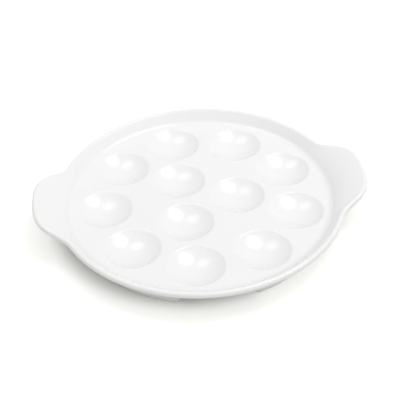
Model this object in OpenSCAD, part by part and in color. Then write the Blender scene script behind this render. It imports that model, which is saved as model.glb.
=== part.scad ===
// Porcelain snail dish for twelve: a round tray with twelve wells, a flared rim, two lug handles
// and a foot ring in four arcs. Lengths are in millimetres and angles in degrees.
// The dish stands on z = 0, with its centre on the z axis and its handles along x.

/* [Wells] */
// Radius of the circle through the centres of the outer wells
outer_ring_r = 68; // [66:0.5:80]
// Radius of the circle through the centres of the inner wells
inner_ring_r = 26.5; // [24:0.5:30]
// Radius of a well's mouth, where its rounded edge meets the floor
mouth_r = 20.4; // [16:0.1:21.5]
// Radius of the rounded edge of a well's mouth
mouth_edge_r = 2.5; // [1.5:0.5:4]
// Depth of a well below the floor
well_depth = 6.5; // [6:0.5:11]
// Thickness of a well's bowl
well_t = 4; // [3:0.5:6]

/* [Tray] */
// Thickness of the floor, the rim and the handles
wall_t = 4.4; // [3:0.2:6]
// Flat margin between the outer wells and the bend of the rim
floor_margin = 1; // [0.8:0.2:8]
// Room between the bottoms of the wells and the table
table_gap = 4.5; // [1.5:0.5:8]

/* [Rim] */
// Inner radius of the bend between the floor and the rim
bend_r = 6.5; // [3:0.5:12]
// Slope of the rim's flared wall
rim_angle = 45; // [35:1:65]
// Length of the flared wall, up its slope
rim_l = 7; // [3:0.1:12]

/* [Handles] */
// How far a handle reaches beyond the rim
handle_reach = 15; // [10:0.5:25]
// Width of a handle where it leaves the rim
handle_w = 88; // [60:1:110]
// How full the corners of a handle are: higher is squarer
handle_fullness = 1.65; // [1.3:0.05:2.2]
// How far a handle's edge climbs above the rim's edge
handle_climb = 5.7; // [3:0.1:12]
// Slope of a handle at its tip
handle_tip_angle = 17; // [5:1:35]

/* [Feet] */
// Distance from the edge of the floor in to the outer face of the feet
foot_inset = 0.6; // [0.4:0.2:4]
// Width of a foot across the ring
foot_w = 6; // [4:0.5:9]
// Radius of the rounded edge round the bottom of a foot
foot_edge_r = 1.5; // [0.5:0.25:1.75]
// Width of each gap between two feet, straight across
foot_gap = 48.5; // [25:0.5:80]

/* [Hidden] */
$fn = 96;

// The wells lie in two rings, with the first inner well beside the right handle
outer_count = 9;
inner_count = 3;
outer_pitch = 360 / outer_count;
inner_pitch = 360 / inner_count;
outer_places = [for (i = [0:outer_count - 1]) polar(outer_ring_r, (i + 0.5) * outer_pitch)];
inner_places = [for (i = [0:inner_count - 1]) polar(inner_ring_r, i * inner_pitch)];
well_places = concat(outer_places, inner_places);

// Heights of the floor's two faces
floor_top = well_depth + well_t + table_gap;
floor_under = floor_top - wall_t;

// A bowl is a sphere that runs into the rounded edge of its mouth
bowl_r = (pow(mouth_r, 2) + pow(well_depth, 2)) / (2 * well_depth) - mouth_edge_r;
bowl_centre = [0, floor_top - well_depth + bowl_r];
edge_centre = [mouth_r, floor_top - mouth_edge_r];
// Overlap of the bowl with its rounded edge, so that one runs into the other without a gap
blend_lap = 0.001;

// The rim's section: a bend about bend_centre, a straight wall and a round lip
floor_r = outer_ring_r + mouth_r + floor_margin;
bend_centre = [floor_r, floor_top + bend_r];
middle_r = bend_r + wall_t / 2;
lip_middle = bend_centre + turned([rim_l, -middle_r], rim_angle);
rim_r = lip_middle.x + wall_t / 2;

// A handle takes the place of the wall over its own width, up from the bend
root_middle = bend_centre + turned([0, -middle_r], rim_angle);
handle_angle = asin(handle_w / 2 / rim_r);
rim_arc = 180 - 2 * handle_angle;
handle_steps = 48;
wall_steps = 8;
lip_steps = 8;
// Angle to either side over which the skew of a handle's edge is measured
skew_step = 0.1;

foot_count = 4;
foot_pitch = 360 / foot_count;
foot_middle_r = floor_r - foot_inset - foot_w / 2;
foot_cap_angle = asin(foot_w / 2 / foot_middle_r);
foot_gap_angle = 2 * asin(foot_gap / 2 / foot_middle_r);
foot_arc = foot_pitch - foot_gap_angle - 2 * foot_cap_angle;
// Angle by which the two halves of a foot overlap each other's middle
foot_lap = 2;

// Longer than any section is across, for cutting shapes
far = 4 * rim_r;
glaze = [0.96, 0.96, 0.95];

WELLS = concat(
    [for (i = [1:outer_count]) str("outer_well_", i)],
    [for (i = [1:inner_count]) str("inner_well_", i)]
);
FEET = ["foot_back_right", "foot_back_left", "foot_front_left", "foot_front_right"];

function polar(r, a) = [r * cos(a), r * sin(a)];

function turned(p, a) = [p.x * cos(a) - p.y * sin(a), p.x * sin(a) + p.y * cos(a)];

// Rises from 0 to 1 with level ends
function ease(x) = pow(x, 3) * (x * (6 * x - 15) + 10);

// Share of a handle's full reach at an angle from its middle
function lug(a) = 1 - ease(min(1, pow(abs(a) / handle_angle, handle_fullness)));

function edge_r(a) = rim_r + handle_reach * lug(a);

// Angle between a handle's edge and a circle about the dish's centre
function edge_skew(a) =
    let (rise = edge_r(a + skew_step) - edge_r(a - skew_step), run = edge_r(a) * 2 * skew_step * PI / 180)
    atan(rise / run);

// Radial depth of the round lip, which is longer where the edge runs askew
function lip_depth(a) = wall_t / 2 / cos(edge_skew(a));

function tip_slope(a) = rim_angle + (handle_tip_angle - rim_angle) * lug(a);

function tip_middle(a) = [edge_r(a) - lip_depth(a), lip_middle.y + handle_climb * lug(a)];

// The middle line of a handle's section at angle a, as the control points of a cubic curve
function handle_curve(a) =
    let (tip = tip_middle(a), arm = norm(tip - root_middle) / 3)
    [root_middle, root_middle + polar(arm, rim_angle), tip - polar(arm, tip_slope(a)), tip];

function on_curve(c, u) =
    pow(1 - u, 3) * c[0] + 3 * u * pow(1 - u, 2) * c[1] + 3 * pow(u, 2) * (1 - u) * c[2] + pow(u, 3) * c[3];

function along_curve(c, u) =
    pow(1 - u, 2) * (c[1] - c[0]) + 2 * u * (1 - u) * (c[2] - c[1]) + pow(u, 2) * (c[3] - c[2]);

// The point at share u of the middle line, moved by d across it
function beside_curve(c, u, d) =
    let (t = along_curve(c, u))
    on_curve(c, u) + d / norm(t) * [-t.y, t.x];

// A handle's section at angle a: up its top face, round the lip and back along its underside
function handle_section(a) =
    let (c = handle_curve(a), half = wall_t / 2, last = wall_steps)
    concat(
        [for (i = [0:last]) beside_curve(c, i / last, half)],
        [for (i = [1:lip_steps - 1])
            let (t = 90 - 180 * i / lip_steps)
            c[3] + turned([lip_depth(a) * cos(t), half * sin(t)], tip_slope(a))],
        [for (i = [0:last]) beside_curve(c, 1 - i / last, -half)]
    );

module floor_panel() {
    color(glaze)
    translate([0, 0, floor_under])
    difference() {
        cylinder(r = floor_r, h = wall_t);
        for (p = well_places)
            translate([p.x, p.y, -wall_t])
            cylinder(r = mouth_r, h = 3 * wall_t);
    }
}

// Half section of a bowl's outside up to a height, no wider than the mouth, so that bowls stay apart
module bowl_section(top) {
    intersection() {
        translate(bowl_centre)
        circle(r = bowl_r + well_t);
        square([mouth_r, top]);
    }
}

// Half section of a well: its bowl and its flange in the floor, less the hollow and the air
// above the mouth's round edge
module well_section() {
    difference() {
        union() {
            bowl_section(floor_under);
            translate([0, floor_under])
            square([mouth_r, wall_t]);
        }
        translate(bowl_centre)
        circle(r = bowl_r + blend_lap);
        difference() {
            polygon([bowl_centre, edge_centre, [mouth_r, bowl_centre.y]]);
            translate(edge_centre)
            circle(r = mouth_edge_r);
        }
    }
}

// A well gives way to the mouths in its list, should a change of size make them meet
module well(place, mouths) {
    color(glaze)
    difference() {
        translate([place.x, place.y, 0])
        rotate_extrude()
        well_section();
        for (p = mouths)
            translate([p.x, p.y, 0])
            cylinder(r = mouth_r, h = 2 * floor_top);
    }
}

// The bend's section, from the floor's edge to the foot of the flared wall
module bend_section() {
    translate(bend_centre)
    intersection() {
        difference() {
            circle(r = bend_r + wall_t);
            circle(r = bend_r);
        }
        translate([0, -far])
        square(far);
        rotate(rim_angle)
        translate([-far, -far])
        square(far);
    }
}

// The flared wall's section, with its round lip
module wall_section() {
    translate(bend_centre)
    rotate(rim_angle) {
        translate([0, -bend_r - wall_t])
        square([rim_l, wall_t]);
        translate([rim_l, -middle_r])
        circle(d = wall_t);
    }
}

module cove_ring() {
    color(glaze)
    rotate_extrude()
    bend_section();
}

// The stretch of rim from one handle to the other, starting at an angle
module rim(start) {
    color(glaze)
    rotate([0, 0, start])
    rotate_extrude(angle = rim_arc)
    wall_section();
}

module rim_front() {
    rim(180 + handle_angle);
}

module rim_back() {
    rim(handle_angle);
}

// A handle swept across its width, as rings of points joined by triangles
module handle() {
    sections = [for (i = [0:handle_steps])
        let (a = handle_angle * (2 * i / handle_steps - 1))
        [for (p = handle_section(a)) [p.x * cos(a), p.x * sin(a), p.y]]];
    n = len(sections[0]);
    last = handle_steps * n;
    color(glaze)
    polyhedron(
        points = [for (s = sections) each s],
        faces = concat(
            [for (i = [0:handle_steps - 1], j = [0:n - 1])
                let (k = (j + 1) % n)
                each [
                    [i * n + j, (i + 1) * n + k, (i + 1) * n + j],
                    [i * n + j, i * n + k, (i + 1) * n + k]
                ]],
            [[for (j = [n - 1:-1:0]) j]],
            [[for (j = [0:n - 1]) last + j]]
        )
    );
}

module handle_right() {
    handle();
}

module handle_left() {
    rotate([0, 0, 180])
    handle();
}

// A foot's section about its own middle line, with both bottom edges rounded
module foot_section() {
    for (side = [-1, 1])
        translate([side * (foot_w / 2 - foot_edge_r), foot_edge_r])
        circle(r = foot_edge_r);
    translate([foot_edge_r - foot_w / 2, 0])
    square([foot_w - 2 * foot_edge_r, floor_under]);
    translate([-foot_w / 2, foot_edge_r])
    square([foot_w, floor_under - foot_edge_r]);
}

// Half of a foot: its rounded end, and the arc from there to just past the foot's middle
module half_foot() {
    rotate([0, 0, -foot_arc / 2]) {
        rotate_extrude(angle = foot_arc / 2 + foot_lap)
        translate([foot_middle_r, 0])
        foot_section();
        translate([foot_middle_r, 0, 0])
        rotate([0, 0, 180])
        rotate_extrude(angle = 180)
        intersection() {
            foot_section();
            square([foot_w, floor_under]);
        }
    }
}

// A foot follows the ring, and is hollowed where the bowls of the outer wells reach into it
module foot(middle) {
    color(glaze)
    difference() {
        rotate([0, 0, middle]) {
            half_foot();
            mirror([0, 1, 0])
            half_foot();
        }
        for (p = outer_places)
            translate([p.x, p.y, 0])
            rotate_extrude()
            bowl_section(floor_top);
    }
}

floor_panel();
cove_ring();
rim_front();
rim_back();
handle_right();
handle_left();
for (i = [0:len(WELLS) - 1])
    well(well_places[i], i < outer_count ? [] : outer_places);
for (i = [0:foot_count - 1])
    foot((i + 0.5) * foot_pitch);
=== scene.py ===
"""White porcelain snail dish: a round tray with twelve wells, a flared rim, two lug handles and feet.

Every piece is a closed mesh over its solid, drawn from one family of smooth curves, so that the glaze
runs from piece to piece without a seam. Lengths are in metres and angles in radians.
"""

import math

import bpy
import numpy as np
from mathutils import Matrix, Vector
from mathutils.geometry import delaunay_2d_cdt

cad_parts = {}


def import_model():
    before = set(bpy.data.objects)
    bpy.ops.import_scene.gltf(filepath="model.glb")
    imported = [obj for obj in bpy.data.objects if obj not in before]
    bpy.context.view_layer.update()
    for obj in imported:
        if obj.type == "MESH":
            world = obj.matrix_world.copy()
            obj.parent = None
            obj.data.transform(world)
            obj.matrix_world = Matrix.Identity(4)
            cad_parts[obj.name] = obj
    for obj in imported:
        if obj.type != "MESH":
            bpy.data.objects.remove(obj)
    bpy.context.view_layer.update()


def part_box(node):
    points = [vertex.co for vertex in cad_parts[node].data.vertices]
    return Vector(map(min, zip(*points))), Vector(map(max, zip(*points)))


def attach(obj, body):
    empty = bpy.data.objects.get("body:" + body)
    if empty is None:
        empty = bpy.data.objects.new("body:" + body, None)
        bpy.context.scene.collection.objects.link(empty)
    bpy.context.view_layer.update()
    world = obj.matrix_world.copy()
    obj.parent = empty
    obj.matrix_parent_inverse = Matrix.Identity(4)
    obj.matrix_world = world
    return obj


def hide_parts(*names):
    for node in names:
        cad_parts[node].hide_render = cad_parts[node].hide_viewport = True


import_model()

MM = 0.001
TURN = 2 * math.pi
UP = (0, 0, 1)
DOWN = (0, 0, -1)

# Wells: two rings of round bowls with rounded mouths
OUTER_COUNT = 9
INNER_COUNT = 3
OUTER_RING_R = 68 * MM
INNER_RING_R = 26.5 * MM
MOUTH_R = 20.4 * MM
MOUTH_EDGE_R = 2.5 * MM
WELL_DEPTH = 6.5 * MM
WELL_T = 4 * MM
WELL_FILLET_R = 4 * MM

# Tray and rim: heights come from the floor's solid, and the rim stays a hair inside its own
WALL_T = 4.4 * MM
HALF_WALL = WALL_T / 2
FLOOR_MARGIN = 1 * MM
BEND_R = 6.5 * MM
RIM_ANGLE = math.radians(45)
RIM_L = 6.997 * MM
FLOOR_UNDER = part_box("floor_panel")[0].z
FLOOR_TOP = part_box("floor_panel")[1].z

# Handles, a hair inside their solids, which are faceted
HANDLE_REACH = 14.98 * MM
HANDLE_W = 88 * MM
HANDLE_FULLNESS = 1.65
HANDLE_CLIMB = 5.68 * MM
HANDLE_TIP_ANGLE = math.radians(17)

# Feet
FOOT_COUNT = 4
FOOT_INSET = 0.6 * MM
FOOT_W = 6 * MM
FOOT_EDGE_R = 1.5 * MM
FOOT_FILLET_R = 1.6 * MM
FOOT_GAP = 48.5 * MM

# Mesh steps
WELL_SEGMENTS = 128
RING_SEGMENTS = 288
HANDLE_STEPS = 144
ARC_STEPS = 24
BOWL_STEPS = 40
WALL_STEPS = 20
FOOT_STEPS = 64
# Points closer than this are one vertex, and slopes are measured over this step of a parameter
WELD = 1e-7
SLOPE_STEP = 1e-5

# Camera, fitted to the photograph's view, with the picture taken as 400 by 400
PICTURE_W = 400
SENSOR_W = 36.0
FOCAL_PIXELS = 962.3
CAMERA_AZIMUTH = math.radians(-6.275)
CAMERA_ELEVATION = math.radians(39.98)
CAMERA_DISTANCE = 0.6836
CAMERA_ROLL = math.radians(-2.236)
CENTRE_RIGHT_PIXELS = 0.66
CENTRE_DOWN_PIXELS = -1.41


def turned(point, angle):
    """A flat vector, or arrays of its two parts, turned by an angle."""
    x, y = point
    return np.array([x * np.cos(angle) - y * np.sin(angle), x * np.sin(angle) + y * np.cos(angle)])


def heading(angle):
    """The flat direction at an angle."""
    return np.array([np.cos(angle), np.sin(angle)])


# Sizes that follow from the ones above
BOWL_R = (MOUTH_R**2 + WELL_DEPTH**2) / (2 * WELL_DEPTH) - MOUTH_EDGE_R
BOWL_CENTRE = np.array([0, FLOOR_TOP - WELL_DEPTH + BOWL_R])
EDGE_CENTRE = np.array([MOUTH_R, FLOOR_TOP - MOUTH_EDGE_R])
BOWL_OUTER_R = BOWL_R + WELL_T
FLOOR_R = OUTER_RING_R + MOUTH_R + FLOOR_MARGIN
BEND_CENTRE = np.array([FLOOR_R, FLOOR_TOP + BEND_R])
MIDDLE_R = BEND_R + HALF_WALL
LIP_MIDDLE = BEND_CENTRE + turned((RIM_L, -MIDDLE_R), RIM_ANGLE)
ROOT_MIDDLE = BEND_CENTRE + turned((0, -MIDDLE_R), RIM_ANGLE)
RIM_R = LIP_MIDDLE[0] + HALF_WALL
HANDLE_ANGLE = math.asin(HANDLE_W / 2 / RIM_R)
FOOT_MIDDLE_R = FLOOR_R - FOOT_INSET - FOOT_W / 2
FOOT_PITCH = TURN / FOOT_COUNT
FOOT_GAP_ANGLE = 2 * math.asin(FOOT_GAP / 2 / FOOT_MIDDLE_R)
FOOT_ARC = FOOT_PITCH - FOOT_GAP_ANGLE - 2 * math.asin(FOOT_W / 2 / FOOT_MIDDLE_R)


# Curves in a plane: each takes a share from 0 to 1 and gives a distance out and a height


def arc(centre, radius, start, end):
    return lambda u: (
        centre[0] + radius * np.cos(start + (end - start) * u),
        centre[1] + radius * np.sin(start + (end - start) * u),
    )


def line(first, last):
    return lambda u: (first[0] + (last[0] - first[0]) * u, first[1] + (last[1] - first[1]) * u)


# Surfaces: each takes a place along its rail and a share of its curve, and gives a point


def lathe(curve, place=(0, 0)):
    """A curve turned about an upright axis."""

    def shape(a, u):
        out, height = curve(u)
        return np.stack([place[0] + out * np.cos(a), place[1] + out * np.sin(a), height], axis=-1)

    return shape


def patch(shape, across, along, pole=UP):
    """Points and normals of a surface over a grid.

    A pole is the normal where the grid draws to a point.
    """
    a, u = np.meshgrid(across, along, indexing="ij")
    slope_a = shape(a + SLOPE_STEP, u) - shape(a - SLOPE_STEP, u)
    slope_u = shape(a, u + SLOPE_STEP) - shape(a, u - SLOPE_STEP)
    normals = np.cross(slope_u, slope_a)
    size = np.linalg.norm(normals, axis=-1, keepdims=True)
    flat = size < np.max(size) * SLOPE_STEP
    normals = np.where(flat, pole, normals / np.where(flat, 1, size))
    return shape(a, u), normals


def full_turn(segments):
    return np.linspace(0, TURN, segments + 1)


def steps(count):
    return np.linspace(0, 1, count + 1)


def mesh_from(name, patches, polygons=()):
    """One closed mesh from grids of points and flat polygons, welded where they meet."""
    points, normals, faces = [], [], []
    start = 0
    for grid, grid_normals in patches:
        rows, columns = grid.shape[:2]
        index = start + np.arange(rows * columns).reshape(rows, columns)
        corners = [index[:-1, :-1], index[:-1, 1:], index[1:, 1:], index[1:, :-1]]
        faces.extend(np.stack(corners, axis=-1).reshape(-1, 4).tolist())
        points.append(grid.reshape(-1, 3))
        normals.append(grid_normals.reshape(-1, 3))
        start += rows * columns
    for loop, normal in polygons:
        faces.append(list(range(start, start + len(loop))))
        points.append(np.asarray(loop, float))
        normals.append(np.tile(normal, (len(loop), 1)))
        start += len(loop)
    points = np.concatenate(points)
    normals = np.concatenate(normals)
    keys = np.round(points / WELD).astype(np.int64)
    _, first, welded = np.unique(keys, axis=0, return_index=True, return_inverse=True)
    welded = welded.reshape(-1)
    kept_faces, kept_normals = [], []
    for face in faces:
        ids = [int(welded[c]) for c in face]
        corners = [k for k in range(len(face)) if ids[k] != ids[k - 1]]
        if len(corners) > 2:
            kept_faces.append([ids[k] for k in corners])
            kept_normals.extend(normals[face[k]] for k in corners)
    mesh = bpy.data.meshes.new(name)
    mesh.from_pydata(points[first].tolist(), [], kept_faces)
    mesh.shade_smooth()
    mesh.normals_split_custom_set([tuple(n) for n in kept_normals])
    return mesh


def dress(node, patches, polygons=()):
    """Puts a glazed mesh in the place of a solid."""
    name = "glazed_" + node
    piece = bpy.data.objects.new(name, mesh_from(name, patches, polygons))
    bpy.context.scene.collection.objects.link(piece)
    piece.data.materials.append(porcelain)
    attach(piece, "root")
    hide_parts(node)


# Sub-parts


def well_places():
    outer = [(OUTER_RING_R, (i + 0.5) * TURN / OUTER_COUNT) for i in range(OUTER_COUNT)]
    inner = [(INNER_RING_R, i * TURN / INNER_COUNT) for i in range(INNER_COUNT)]
    return {
        **{f"outer_well_{i + 1}": r * heading(a) for i, (r, a) in enumerate(outer)},
        **{f"inner_well_{i + 1}": r * heading(a) for i, (r, a) in enumerate(inner)},
    }


def well(place):
    """A bowl with a rounded mouth, and a fillet where its underside meets the floor's underside."""
    to_edge = math.atan2(*(EDGE_CENTRE - BOWL_CENTRE)[::-1])
    fillet_z = FLOOR_UNDER - WELL_FILLET_R
    drop = BOWL_CENTRE[1] - fillet_z
    fillet_r = math.sqrt((BOWL_OUTER_R + WELL_FILLET_R) ** 2 - drop**2)
    to_bowl = math.atan2(drop, -fillet_r)
    down = -TURN / 4
    up = TURN / 4
    curves = [
        (arc(BOWL_CENTRE, BOWL_R, down, to_edge), BOWL_STEPS),
        (arc(EDGE_CENTRE, MOUTH_EDGE_R, to_edge + TURN / 2, up), ARC_STEPS),
        (line((MOUTH_R, FLOOR_TOP), (MOUTH_R, FLOOR_UNDER)), 1),
        (line((MOUTH_R, FLOOR_UNDER), (fillet_r, FLOOR_UNDER)), 1),
        (arc((fillet_r, fillet_z), WELL_FILLET_R, up, to_bowl), ARC_STEPS),
        (arc(BOWL_CENTRE, BOWL_OUTER_R, to_bowl - TURN / 2, down), BOWL_STEPS),
    ]
    around = full_turn(WELL_SEGMENTS)
    poles = [UP] * 5 + [DOWN]
    return [patch(lathe(c, place), around, steps(n), p) for (c, n), p in zip(curves, poles)]


def floor_panel(places):
    """The flat floor with a round hole for each well, as triangles between the rings of points."""
    rings = [FLOOR_R * heading(full_turn(RING_SEGMENTS)[:-1]).T]
    for place in places:
        rings.append(place + MOUTH_R * heading(full_turn(WELL_SEGMENTS)[:-1]).T)
    points, edges = [], []
    for ring in rings:
        base = len(points)
        points.extend(Vector(p) for p in ring)
        edges.extend((base + i, base + (i + 1) % len(ring)) for i in range(len(ring)))
    flat, _, triangles, _, _, _ = delaunay_2d_cdt(points, edges, [], 1, WELD)
    polygons = []
    inside_mouth = MOUTH_R * math.cos(TURN / WELL_SEGMENTS)
    for triangle in triangles:
        corners = np.array([flat[i] for i in triangle])
        middle = corners.mean(axis=0)
        if min(np.linalg.norm(middle - p) for p in places) < inside_mouth:
            continue
        top = [(x, y, FLOOR_TOP) for x, y in corners]
        under = [(x, y, FLOOR_UNDER) for x, y in corners[::-1]]
        polygons.append((top, UP))
        polygons.append((under, DOWN))
    edge = line((FLOOR_R, FLOOR_TOP), (FLOOR_R, FLOOR_UNDER))
    seat = line((MOUTH_R, FLOOR_UNDER), (MOUTH_R, FLOOR_TOP))
    patches = [patch(lathe(edge), full_turn(RING_SEGMENTS), steps(1))]
    for place in places:
        patches.append(patch(lathe(seat, place), full_turn(WELL_SEGMENTS), steps(1)))
    return patches, polygons


def cove_ring():
    """The bend between the floor and the wall."""
    down = -TURN / 4
    slope = down + RIM_ANGLE
    outer_r = BEND_R + WALL_T
    rise = heading(slope)
    curves = [
        (arc(BEND_CENTRE, BEND_R, down, slope), ARC_STEPS),
        (line(BEND_CENTRE + BEND_R * rise, BEND_CENTRE + outer_r * rise), 1),
        (arc(BEND_CENTRE, outer_r, slope, down), ARC_STEPS),
        (line((FLOOR_R, FLOOR_UNDER), (FLOOR_R, FLOOR_TOP)), 1),
    ]
    return [patch(lathe(c), full_turn(RING_SEGMENTS), steps(n)) for c, n in curves]


def ease(x):
    """A rise from 0 to 1 that is level and unbent at both ends."""
    return x**3 * (x * (6 * x - 15) + 10)


def lug(a):
    """Share of a handle's full reach at an angle from the nearer handle's middle."""
    off = np.abs((a + TURN / 4) % (TURN / 2) - TURN / 4)
    return 1 - ease(np.minimum(1, (off / HANDLE_ANGLE) ** HANDLE_FULLNESS))


def edge_r(a):
    """How far out the wall's edge reaches at an angle."""
    return RIM_R + HANDLE_REACH * lug(a)


def wall_frame(a):
    """Control points of the wall's middle line, the lip's depth and the slope at the tip, at angle a."""
    reach = lug(a)
    skew = (edge_r(a + SLOPE_STEP) - edge_r(a - SLOPE_STEP)) / (2 * SLOPE_STEP * edge_r(a))
    depth = HALF_WALL * np.hypot(1, skew)
    slope = RIM_ANGLE + (HANDLE_TIP_ANGLE - RIM_ANGLE) * reach
    tip = np.array([edge_r(a) - depth, LIP_MIDDLE[1] + HANDLE_CLIMB * reach])
    root = ROOT_MIDDLE.reshape((2,) + (1,) * np.ndim(a)) + np.zeros_like(tip)
    arm = np.hypot(*(tip - root)) / 3
    return [root, root + arm * heading(RIM_ANGLE + 0 * a), tip - arm * heading(slope), tip], depth, slope


def wall_face(side):
    """The wall's top face (side 1, from root to tip) or underside (side -1, from tip to root)."""

    def shape(a, u):
        (p, q, r, s), _, _ = wall_frame(a)
        t = u if side > 0 else 1 - u
        along = (1 - t) ** 2 * (q - p) + 2 * t * (1 - t) * (r - q) + t**2 * (s - r)
        middle = (1 - t) ** 3 * p + 3 * t * (1 - t) ** 2 * q + 3 * t**2 * (1 - t) * r + t**3 * s
        across = turned(along / np.hypot(*along), TURN / 4)
        out, height = middle + side * HALF_WALL * across
        return np.stack([out * np.cos(a), out * np.sin(a), height], axis=-1)

    return shape


def lip(a, u):
    """The round edge of the wall, from its top face to its underside."""
    control, depth, slope = wall_frame(a)
    t = TURN / 4 - TURN / 2 * u
    out, height = control[3] + turned((depth * np.cos(t), HALF_WALL * np.sin(t)), slope)
    return np.stack([out * np.cos(a), out * np.sin(a), height], axis=-1)


def wall(start, end, count):
    """A stretch of the wall between two angles, closed at its root and at both ends."""
    across = np.linspace(start, end, count + 1)
    side = HALF_WALL * turned(heading(RIM_ANGLE), TURN / 4)
    root = line(ROOT_MIDDLE - side, ROOT_MIDDLE + side)
    patches = [
        patch(wall_face(1), across, steps(WALL_STEPS)),
        patch(lip, across, steps(ARC_STEPS)),
        patch(wall_face(-1), across, steps(WALL_STEPS)),
        patch(lathe(root), across, steps(1)),
    ]
    first = np.concatenate([grid[0, :-1] for grid, _ in patches])
    last = np.concatenate([grid[-1, :-1] for grid, _ in patches])
    ends = [
        (first[::-1], (math.sin(start), -math.cos(start), 0)),
        (last, (-math.sin(end), math.cos(end), 0)),
    ]
    return patches, ends


def foot_rail(middle):
    """The outline of a foot: its outer side, one round end, its inner side and the other end."""
    half = FOOT_ARC / 2

    def rail(s):
        share = s % 1
        stage = np.floor(s) % 4
        swing = np.select(
            [stage == 0, stage == 1, stage == 2, stage == 3],
            [half * (2 * share - 1), half + 0 * s, half * (1 - 2 * share), -half + 0 * s],
        )
        facing = np.select(
            [stage == 0, stage == 1, stage == 2, stage == 3],
            [swing, swing + TURN / 2 * share, swing + TURN / 2, swing - TURN / 2 + TURN / 2 * share],
        )
        return FOOT_MIDDLE_R * heading(middle + swing), heading(middle + facing)

    return rail


def foot(middle):
    """An arc of the foot ring: rounded below, and spread into the floor's underside above."""
    rail = foot_rail(middle)
    half = FOOT_W / 2
    top_z = FLOOR_UNDER - FOOT_FILLET_R
    flat = half - FOOT_EDGE_R
    spread = half + FOOT_FILLET_R
    down = -TURN / 4
    curves = [
        (line((0, FLOOR_UNDER), (spread, FLOOR_UNDER)), 1),
        (arc((spread, top_z), FOOT_FILLET_R, TURN / 4, TURN / 2), ARC_STEPS),
        (line((half, top_z), (half, FOOT_EDGE_R)), ARC_STEPS),
        (arc((flat, FOOT_EDGE_R), FOOT_EDGE_R, 0, down), ARC_STEPS),
        (line((flat, 0), (0, 0)), 1),
    ]
    sides = np.linspace(0, 1, FOOT_STEPS + 1)
    ends = np.linspace(0, 1, ARC_STEPS + 1)
    around = np.concatenate([sides, 1 + ends[1:], 2 + sides[1:], 3 + ends[1:]])

    def swept(curve):
        def shape(s, u):
            (x, y), (dx, dy) = rail(s)
            out, height = curve(u)
            return np.stack([x + out * dx, y + out * dy, height], axis=-1)

        return shape

    poles = [UP] * 4 + [DOWN]
    return [patch(swept(c), around, steps(n), p) for (c, n), p in zip(curves, poles)]


# Materials

# Noises: how many waves of each go into a metre, and the middle part of their values
CLOUD_SCALE = 28
WAVE_SCALE = 45
SHEEN_SCALE = 60
PEEL_SCALE = 420
RAGGED_SCALE = 700
GRIT_SCALE = 900
PAPER_SCALE = 9
NOISE_LOW = 0.3
NOISE_HIGH = 0.7

# Glaze: clouded white, and a little greyer where it pools in the wells
GLAZE_IOR = 1.55
GLAZE_TONES = ((0.895, 0.895, 0.893, 1), (0.910, 0.910, 0.908, 1))
GLAZE_ROUGHNESS = (0.13, 0.19)
POOL_TONE = (0.892, 0.895, 0.896, 1)
POOL_TOP = FLOOR_TOP - 2 * MM
POOL_LEVEL = 0.4
POOL_SHARE = 0.5
WAVE_STRENGTH = 0.15
WAVE_HEIGHT = 0.4 * MM
PEEL_STRENGTH = 0.06
PEEL_HEIGHT = 0.1 * MM

# Bare clay at the bottom of the feet, up to a ragged line where the glaze stops
CLAY_TONES = ((0.80, 0.78, 0.74, 1), (0.87, 0.855, 0.82, 1))
CLAY_ROUGHNESS = 0.7
CLAY_FULL_Z = 0.5 * MM
CLAY_END_Z = 0.8 * MM
CLAY_RAGGED = 0.5 * MM

# Table: pale paper, lifted to white by a painted glow outside a painted round patch of shade, which lies
# towards the left
PAPER_TONES = ((0.708, 0.708, 0.680, 1), (0.715, 0.715, 0.687, 1))
TABLE_PAINTED_GLOW = 0.472
PAINTED_SHADE_CENTRE = (-11.3 * MM, 4.9 * MM, 0)
PAINTED_SHADE_R = 81.7 * MM
PAINTED_SHADE_FADE_R = 102.2 * MM


def add_node(tree, kind, inputs=None, **settings):
    made = tree.nodes.new("ShaderNode" + kind)
    for key, value in settings.items():
        setattr(made, key, value)
    for key, value in (inputs or {}).items():
        socket = made.inputs[key]
        if isinstance(value, bpy.types.NodeSocket):
            tree.links.new(value, socket)
        else:
            socket.default_value = value
    return made


def mix(tree, kind, factor, first, second):
    """A Mix node's result. Only the sockets of its own kind are in use."""
    made = tree.nodes.new("ShaderNodeMix")
    made.data_type = kind
    sockets = [s for s in made.inputs if s.enabled]
    for socket, value in zip(sockets, (factor, first, second)):
        if isinstance(value, bpy.types.NodeSocket):
            tree.links.new(value, socket)
        else:
            socket.default_value = value
    return next(s for s in made.outputs if s.enabled)


def calc(tree, operation, *values):
    """The result of a Math node."""
    return add_node(tree, "Math", dict(enumerate(values)), operation=operation).outputs[0]


def noise(tree, place, scale, detail):
    made = add_node(tree, "TexNoise", {"Vector": place, "Scale": scale, "Detail": detail})
    return made.outputs[0]


def ranged(tree, value, low, high, to_low, to_high):
    """A value carried smoothly from one range to another."""
    inputs = {"Value": value, "From Min": low, "From Max": high, "To Min": to_low, "To Max": to_high}
    return add_node(tree, "MapRange", inputs, interpolation_type="SMOOTHSTEP").outputs[0]


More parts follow.
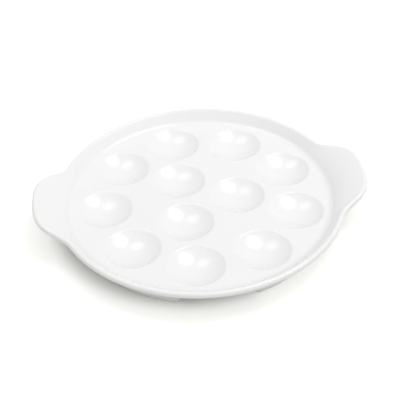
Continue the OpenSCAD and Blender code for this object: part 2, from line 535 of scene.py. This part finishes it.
def porcelain_material():
    """Clear glaze over white porcelain, deeper in the wells, and bare clay where the feet stand."""
    material = bpy.data.materials.new("glazed_porcelain")
    material.use_nodes = True
    tree = material.node_tree
    shader = tree.nodes["Principled BSDF"]
    shader.inputs["IOR"].default_value = GLAZE_IOR
    place = add_node(tree, "TexCoord").outputs["Object"]
    geometry = add_node(tree, "NewGeometry")
    height = add_node(tree, "SeparateXYZ", {"Vector": place}).outputs["Z"]
    facing = add_node(tree, "SeparateXYZ", {"Vector": geometry.outputs["Normal"]}).outputs["Z"]

    tone = mix(tree, "RGBA", noise(tree, place, CLOUD_SCALE, 3), *GLAZE_TONES)
    below = ranged(tree, height, FLOOR_TOP - WELL_DEPTH, POOL_TOP, 1, 0)
    upward = ranged(tree, facing, 0, POOL_LEVEL, 0, POOL_SHARE)
    pool = calc(tree, "MULTIPLY", below, upward)
    glazed = mix(tree, "RGBA", pool, tone, POOL_TONE)
    edge = calc(tree, "MULTIPLY_ADD", noise(tree, place, RAGGED_SCALE, 2), CLAY_RAGGED, height)
    bare = ranged(tree, edge, CLAY_FULL_Z, CLAY_END_Z, 1, 0)
    clay = mix(tree, "RGBA", noise(tree, place, GRIT_SCALE, 4), *CLAY_TONES)
    tree.links.new(mix(tree, "RGBA", bare, glazed, clay), shader.inputs["Base Color"])

    sheen = noise(tree, place, SHEEN_SCALE, 3)
    gloss = ranged(tree, sheen, NOISE_LOW, NOISE_HIGH, *GLAZE_ROUGHNESS)
    tree.links.new(mix(tree, "FLOAT", bare, gloss, CLAY_ROUGHNESS), shader.inputs["Roughness"])

    waves = {
        "Height": noise(tree, place, WAVE_SCALE, 2),
        "Strength": WAVE_STRENGTH,
        "Distance": WAVE_HEIGHT,
    }
    peel = {
        "Height": noise(tree, place, PEEL_SCALE, 2),
        "Strength": PEEL_STRENGTH,
        "Distance": PEEL_HEIGHT,
        "Normal": add_node(tree, "Bump", waves).outputs["Normal"],
    }
    tree.links.new(add_node(tree, "Bump", peel).outputs["Normal"], shader.inputs["Normal"])
    return material


def seen_directly(tree):
    """1 for rays from the camera, a reflection or a clear body, and 0 for light that spreads."""
    path = add_node(tree, "LightPath").outputs
    clear = calc(tree, "MAXIMUM", path["Is Glossy Ray"], path["Is Transmission Ray"])
    return calc(tree, "MAXIMUM", path["Is Camera Ray"], clear)


def table_material():
    """Matt pale paper, lifted to pure white by a painted glow that camera and reflection rays see,
    outside a painted round patch of shade beside the dish.
    """
    material = bpy.data.materials.new("table_painted_shade")
    material.use_nodes = True
    tree = material.node_tree
    tree.nodes.remove(tree.nodes["Principled BSDF"])
    place = add_node(tree, "TexCoord").outputs["Object"]
    tone = mix(tree, "RGBA", noise(tree, place, PAPER_SCALE, 3), *PAPER_TONES)
    matt = add_node(tree, "BsdfDiffuse", {"Color": tone})
    # Painted shade: the glow fades away inside a fixed round patch towards the left of the dish, so the
    # table stays darker there
    away = add_node(tree, "VectorMath", {0: place, 1: PAINTED_SHADE_CENTRE}, operation="DISTANCE")
    white = ranged(tree, away.outputs["Value"], PAINTED_SHADE_R, PAINTED_SHADE_FADE_R, 0, TABLE_PAINTED_GLOW)
    lift = calc(tree, "MULTIPLY", seen_directly(tree), white)
    glow = add_node(tree, "Emission", {"Strength": lift})
    both = add_node(tree, "AddShader", {0: matt.outputs[0], 1: glow.outputs[0]})
    tree.links.new(both.outputs[0], tree.nodes["Material Output"].inputs["Surface"])
    return material


# Stage

TABLE_SIZE = 6.0

# The surround's least light, and how much more comes from above, from the right and from the upper front
SURROUND_LOW = 0.30
SURROUND_ABOVE = 0.22
SURROUND_RIGHT = 0.15
SURROUND_FRONT = 0.38
# The parts of a direction between which that light comes in
ABOVE_FULL = 0.8
SIDE_FULL = 0.35
FRONT_START = 0.1
FRONT_FULL = 0.6
# Share of the front's light that comes from near the table
FRONT_LEAST = 0.1


def table():
    """A wide flat sheet that the dish stands on."""
    half = TABLE_SIZE / 2
    mesh = bpy.data.meshes.new("table")
    corners = [(-half, -half, 0), (half, -half, 0), (half, half, 0), (-half, half, 0)]
    mesh.from_pydata(corners, [], [(0, 1, 2, 3)])
    mesh.materials.append(table_material())
    top = bpy.data.objects.new("table", mesh)
    bpy.context.scene.collection.objects.link(top)


def world():
    """A white surround that lights more from some sides, and is seen as even."""
    made = bpy.data.worlds.new("white_surround")
    made.use_nodes = True
    tree = made.node_tree
    direction = add_node(tree, "TexCoord").outputs["Generated"]
    x, y, z = add_node(tree, "SeparateXYZ", {"Vector": direction}).outputs
    above = ranged(tree, z, 0, ABOVE_FULL, SURROUND_LOW, SURROUND_LOW + SURROUND_ABOVE)
    right = ranged(tree, x, -SIDE_FULL, SIDE_FULL, 0, SURROUND_RIGHT)
    front = ranged(tree, y, -SIDE_FULL, SIDE_FULL, SURROUND_FRONT, 0)
    high = ranged(tree, z, FRONT_START, FRONT_FULL, FRONT_LEAST, 1)
    upper = calc(tree, "MULTIPLY", front, high)
    spread = calc(tree, "ADD", above, calc(tree, "ADD", right, upper))
    strength = mix(tree, "FLOAT", seen_directly(tree), spread, 1.0)
    background = tree.nodes["Background"]
    background.inputs["Color"].default_value = (1, 1, 1, 1)
    tree.links.new(strength, background.inputs["Strength"])
    bpy.context.scene.world = made


def lamp(name, direction, distance, width, depth, power):
    """A soft box that faces the middle of the floor, with its width along the line of the handles."""
    data = bpy.data.lights.new(name, "AREA")
    data.shape = "ELLIPSE"
    data.size = width
    data.size_y = depth
    data.energy = power
    made = bpy.data.objects.new(name, data)
    back = Vector(direction).normalized()
    side = Vector((0, 1, 0)).cross(back).normalized()
    facing = Matrix((side, back.cross(side), back)).transposed().to_4x4()
    made.matrix_world = Matrix.Translation(Vector((0, 0, FLOOR_TOP)) + distance * back) @ facing
    bpy.context.scene.collection.objects.link(made)


def camera():
    """A camera that looks at the middle of the floor from the photograph's angle."""
    data = bpy.data.cameras.new("camera")
    data.sensor_width = SENSOR_W
    data.lens = FOCAL_PIXELS * SENSOR_W / PICTURE_W
    data.shift_x = -CENTRE_RIGHT_PIXELS / PICTURE_W
    data.shift_y = CENTRE_DOWN_PIXELS / PICTURE_W
    made = bpy.data.objects.new("camera", data)
    out = math.cos(CAMERA_ELEVATION)
    x = math.sin(CAMERA_AZIMUTH) * out
    y = -math.cos(CAMERA_AZIMUTH) * out
    back = Vector((x, y, math.sin(CAMERA_ELEVATION)))
    level = back.to_track_quat("Z", "Y").to_matrix().to_4x4()
    place = Matrix.Translation(Vector((0, 0, FLOOR_TOP)) + CAMERA_DISTANCE * back)
    made.matrix_world = place @ level @ Matrix.Rotation(CAMERA_ROLL, 4, "Z")
    bpy.context.scene.collection.objects.link(made)
    bpy.context.scene.camera = made


porcelain = porcelain_material()
places = well_places()
dress("floor_panel", *floor_panel(list(places.values())))
dress("cove_ring", cove_ring())
for node, place in places.items():
    dress(node, well(place))
dress("handle_right", *wall(-HANDLE_ANGLE, HANDLE_ANGLE, HANDLE_STEPS))
dress("handle_left", *wall(TURN / 2 - HANDLE_ANGLE, TURN / 2 + HANDLE_ANGLE, HANDLE_STEPS))
dress("rim_back", *wall(HANDLE_ANGLE, TURN / 2 - HANDLE_ANGLE, RING_SEGMENTS // 2))
dress("rim_front", *wall(TURN / 2 + HANDLE_ANGLE, TURN - HANDLE_ANGLE, RING_SEGMENTS // 2))
for i, node in enumerate(("foot_back_right", "foot_back_left", "foot_front_left", "foot_front_right")):
    dress(node, foot((i + 0.5) * FOOT_PITCH))

table()
world()
lamp("key_soft_box", (0.365, 0.059, 0.929), distance=1.1, width=0.64, depth=0.64, power=2.9)
lamp("top_soft_box", (-0.21, 0.33, 0.92), distance=1.2, width=0.56, depth=0.50, power=1.25)
camera()
bpy.context.scene.view_settings.view_transform = "Standard"
